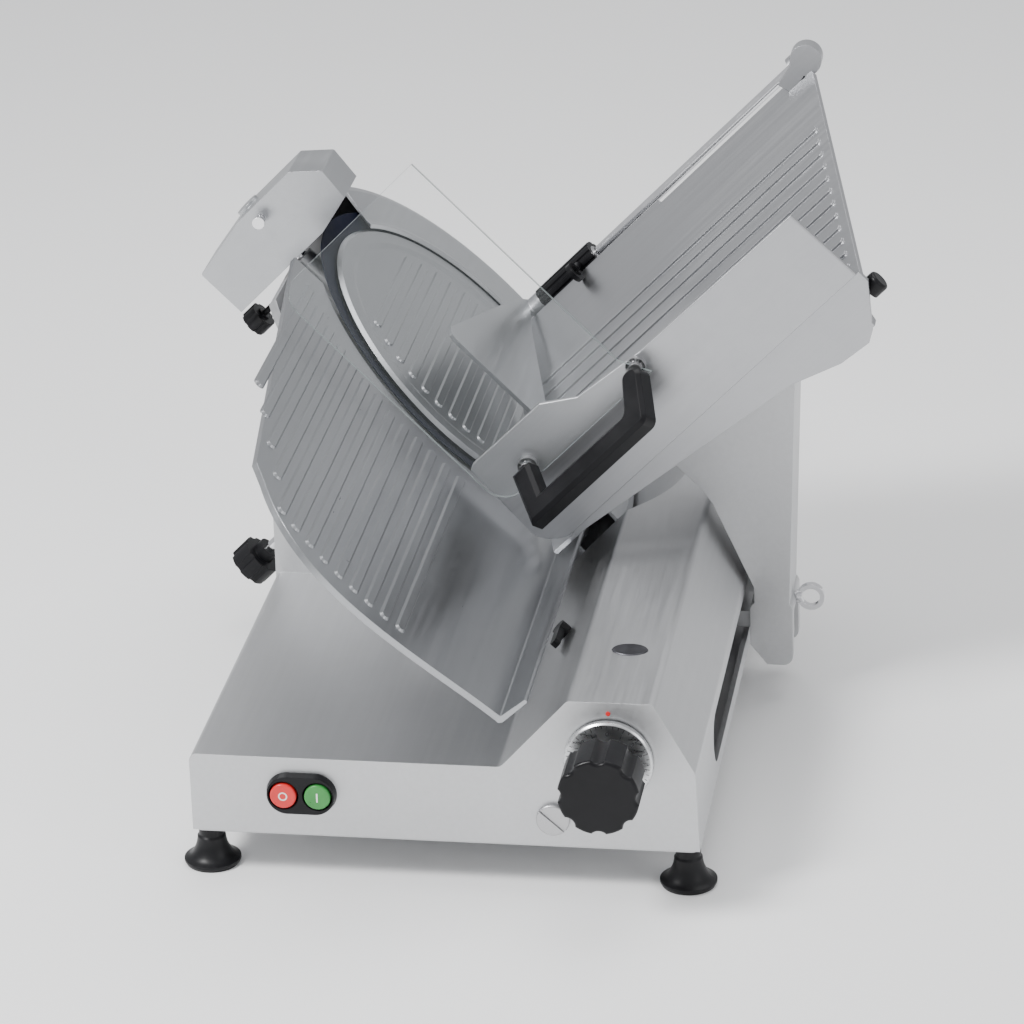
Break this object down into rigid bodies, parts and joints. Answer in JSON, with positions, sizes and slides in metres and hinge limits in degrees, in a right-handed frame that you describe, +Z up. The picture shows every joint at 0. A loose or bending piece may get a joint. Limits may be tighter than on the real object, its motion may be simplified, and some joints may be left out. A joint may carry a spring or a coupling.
{
  "type": "deli meat slicer",
  "caption": "Gravity-feed meat slicer: inclined round blade, ribbed gauge plate, sliding tray with pusher, index dial and sharpener",
  "frame": {"origin": "on the table, under the middle of the machine's bounding box", "axes": "+X to the user's right, +Y away from the user, +Z up"},
  "size_m": [0.6554, 0.813, 0.5764],
  "materials": {
    "cast_alloy": "brushed, clear anodised casting",
    "blade_steel": "ground and polished steel",
    "chrome": "polished",
    "steel": "machined",
    "black_plastic": "gloss black",
    "black_rubber": "moulded",
    "clear": "clear acrylic",
    "red": "gloss red",
    "green": "gloss green",
    "dial_silver": "satin with engraved marks",
    "stone_red": "bonded abrasive",
    "stone_white": "bonded abrasive",
    "motor_paint": "satin paint",
    "bronze": "plain bearing bronze"
  },
  "bodies": {
    "base": {"base_housing": "cast_alloy", "bottom_plate": "steel", "feet": "black_rubber", "foot_studs": "steel", "casting_screws": "steel", "ring_guard": "cast_alloy", "spindle": "steel", "motor": "motor_paint", "drive_belt": "black_rubber", "gauge_sleeve": "cast_alloy", "index_mark": "red", "slotted_plug": "steel", "switch_panel": "black_plastic", "switch_box": "black_plastic", "control_box": "black_plastic", "cable_gland": "black_plastic", "carriage_rails": "chrome", "rail_brackets": "cast_alloy", "blade_cover": "cast_alloy"},
    "blade_unit": {"blade": "blade_steel", "blade_screws": "steel", "blade_pulley": "cast_alloy", "blade_bearings": "steel"},
    "motor_unit": {"motor_shaft": "steel", "motor_pulley": "steel"},
    "tie": {"tie_rod": "chrome", "tie_knob": "black_plastic"},
    "gauge": {"gauge_plate": "cast_alloy", "gauge_column": "cast_alloy", "follower_arm": "steel"},
    "index": {"dial": "dial_silver", "index_knob": "black_plastic", "index_shaft": "steel", "index_cam": "steel"},
    "stop_button_body": {"stop_button": "red"},
    "start_button_body": {"start_button": "green"},
    "carriage": {"carriage_foot": "cast_alloy", "carriage_bushes": "bronze", "hinge_pin": "chrome"},
    "tray_body": {"carriage_arm": "cast_alloy", "tray": "cast_alloy", "front_wall": "cast_alloy", "wall_fixings": "steel", "handle": "black_plastic", "clear_guard": "clear", "pusher_rod": "chrome"},
    "arm_knob": {"arm_ring_knob": "chrome"},
    "tray_knob_body": {"tray_knob": "black_plastic"},
    "pusher_slider": {"pusher_sleeve": "steel"},
    "pusher": {"pusher_plate": "cast_alloy", "pusher_grip": "black_plastic"},
    "pusher_knob": {"pusher_ring_knob": "black_plastic"},
    "sharpener_column": {"sharpener_post": "chrome"},
    "sharpener_head": {"sharpener_housing": "cast_alloy", "stone_shafts": "steel"},
    "hone_pin_body": {"hone_pin": "chrome"},
    "grinding": {"grinding_stone": "stone_red"},
    "honing": {"honing_stone": "stone_white"},
    "clamp": {"clamp_knob": "black_plastic"},
    "lever": {"lock_lever": "black_plastic"}
  },
  "joints": [
    {"name": "blade_spin", "type": "hinge", "parent": "base", "child": "blade_unit", "pos_m": [-0.0839, 0.1905, 0.28], "axis": [0.7071, 0, 0.7071], "continuous": true},
    {"name": "motor_spin", "type": "hinge", "parent": "base", "child": "motor_unit", "pos_m": [0.00237, 0.1905, 0.19373], "axis": [0.7071, 0, 0.7071], "continuous": true},
    {"name": "tie_rod_turn", "type": "hinge", "parent": "base", "child": "tie", "pos_m": [-0.15461, 0.1905, 0.20929], "axis": [0.7071, 0, 0.7071], "range_deg": [0, 720]},
    {"name": "gauge_slide", "type": "slide", "parent": "base", "child": "gauge", "axis": [-0.7071, 0, -0.7071], "range_m": [0, 0.0155]},
    {"name": "index_turn", "type": "hinge", "parent": "base", "child": "index", "pos_m": [0.1171, -0.3345, 0.128], "axis": [0, 1, 0], "range_deg": [0, 180]},
    {"name": "stop_press", "type": "slide", "parent": "base", "child": "stop_button_body", "axis": [0, 1, 0], "range_m": [0, 0.003], "stiffness_N_per_m": 400},
    {"name": "start_press", "type": "slide", "parent": "base", "child": "start_button_body", "axis": [0, 1, 0], "range_m": [0, 0.003], "stiffness_N_per_m": 400},
    {"name": "carriage_slide", "type": "slide", "parent": "base", "child": "carriage", "axis": [0, 1, 0], "range_m": [-0.26, 0.11]},
    {"name": "tray_tilt", "type": "hinge", "parent": "carriage", "child": "tray_body", "pos_m": [0.2151, 0.1005, 0.06], "axis": [0, 1, 0], "range_deg": [0, 40]},
    {"name": "arm_knob_turn", "type": "hinge", "parent": "tray_body", "child": "arm_knob", "pos_m": [0.2321, 0.1005, 0.09], "axis": [1, 0, 0], "range_deg": [0, 360]},
    {"name": "tray_knob_turn", "type": "hinge", "parent": "tray_body", "child": "tray_knob_body", "pos_m": [0.31067, -0.0065, 0.43698], "axis": [0.7071, 0, 0.7071], "range_deg": [0, 360]},
    {"name": "pusher_slide", "type": "slide", "parent": "tray_body", "child": "pusher_slider", "axis": [0.7071, 0, 0.7071], "range_m": [0, 0.25]},
    {"name": "pusher_swing", "type": "hinge", "parent": "pusher_slider", "child": "pusher", "pos_m": [0.00307, 0.3005, 0.32879], "axis": [-0.7071, 0, -0.7071], "range_deg": [0, 110]},
    {"name": "pusher_knob_turn", "type": "hinge", "parent": "pusher", "child": "pusher_knob", "pos_m": [0.01015, 0.288, 0.34435], "axis": [0, 1, 0], "range_deg": [0, 360]},
    {"name": "sharpener_lift", "type": "slide", "parent": "base", "child": "sharpener_column", "axis": [-0.7071, 0, 0.7071], "range_m": [-0.0035, 0.025]},
    {"name": "sharpener_turn", "type": "hinge", "parent": "sharpener_column", "child": "sharpener_head", "pos_m": [-0.25078, 0.1865, 0.39597], "axis": [-0.7071, 0, 0.7071], "range_deg": [0, 180]},
    {"name": "hone_pin_turn", "type": "hinge", "parent": "sharpener_head", "child": "hone_pin_body", "pos_m": [-0.26775, 0.1525, 0.43274], "axis": [0, 1, 0], "range_deg": [0, 360]},
    {"name": "grinding_spin", "type": "hinge", "parent": "sharpener_head", "child": "grinding", "pos_m": [-0.29002, 0.1865, 0.36874], "axis": [0.7071, 0, 0.7071], "continuous": true},
    {"name": "honing_spin", "type": "hinge", "parent": "sharpener_head", "child": "honing", "pos_m": [-0.27376, 0.1865, 0.38501], "axis": [0.7071, 0, 0.7071], "continuous": true},
    {"name": "clamp_turn", "type": "hinge", "parent": "base", "child": "clamp", "pos_m": [-0.28048, 0.1865, 0.32101], "axis": [0.7071, 0, 0.7071], "range_deg": [0, 360]},
    {"name": "lock_lever_turn", "type": "hinge", "parent": "base", "child": "lever", "pos_m": [0.0526, -0.1295, 0.1495], "axis": [-0.7405, 0, 0.6721], "range_deg": [-45, 45]}
  ],
  "couplings": [
    {"joint": "motor_spin", "follows": "blade_spin", "ratio": 3.8889},
    {"joint": "index_turn", "follows": "gauge_slide", "rad_per_m": 202.66}
  ]
}
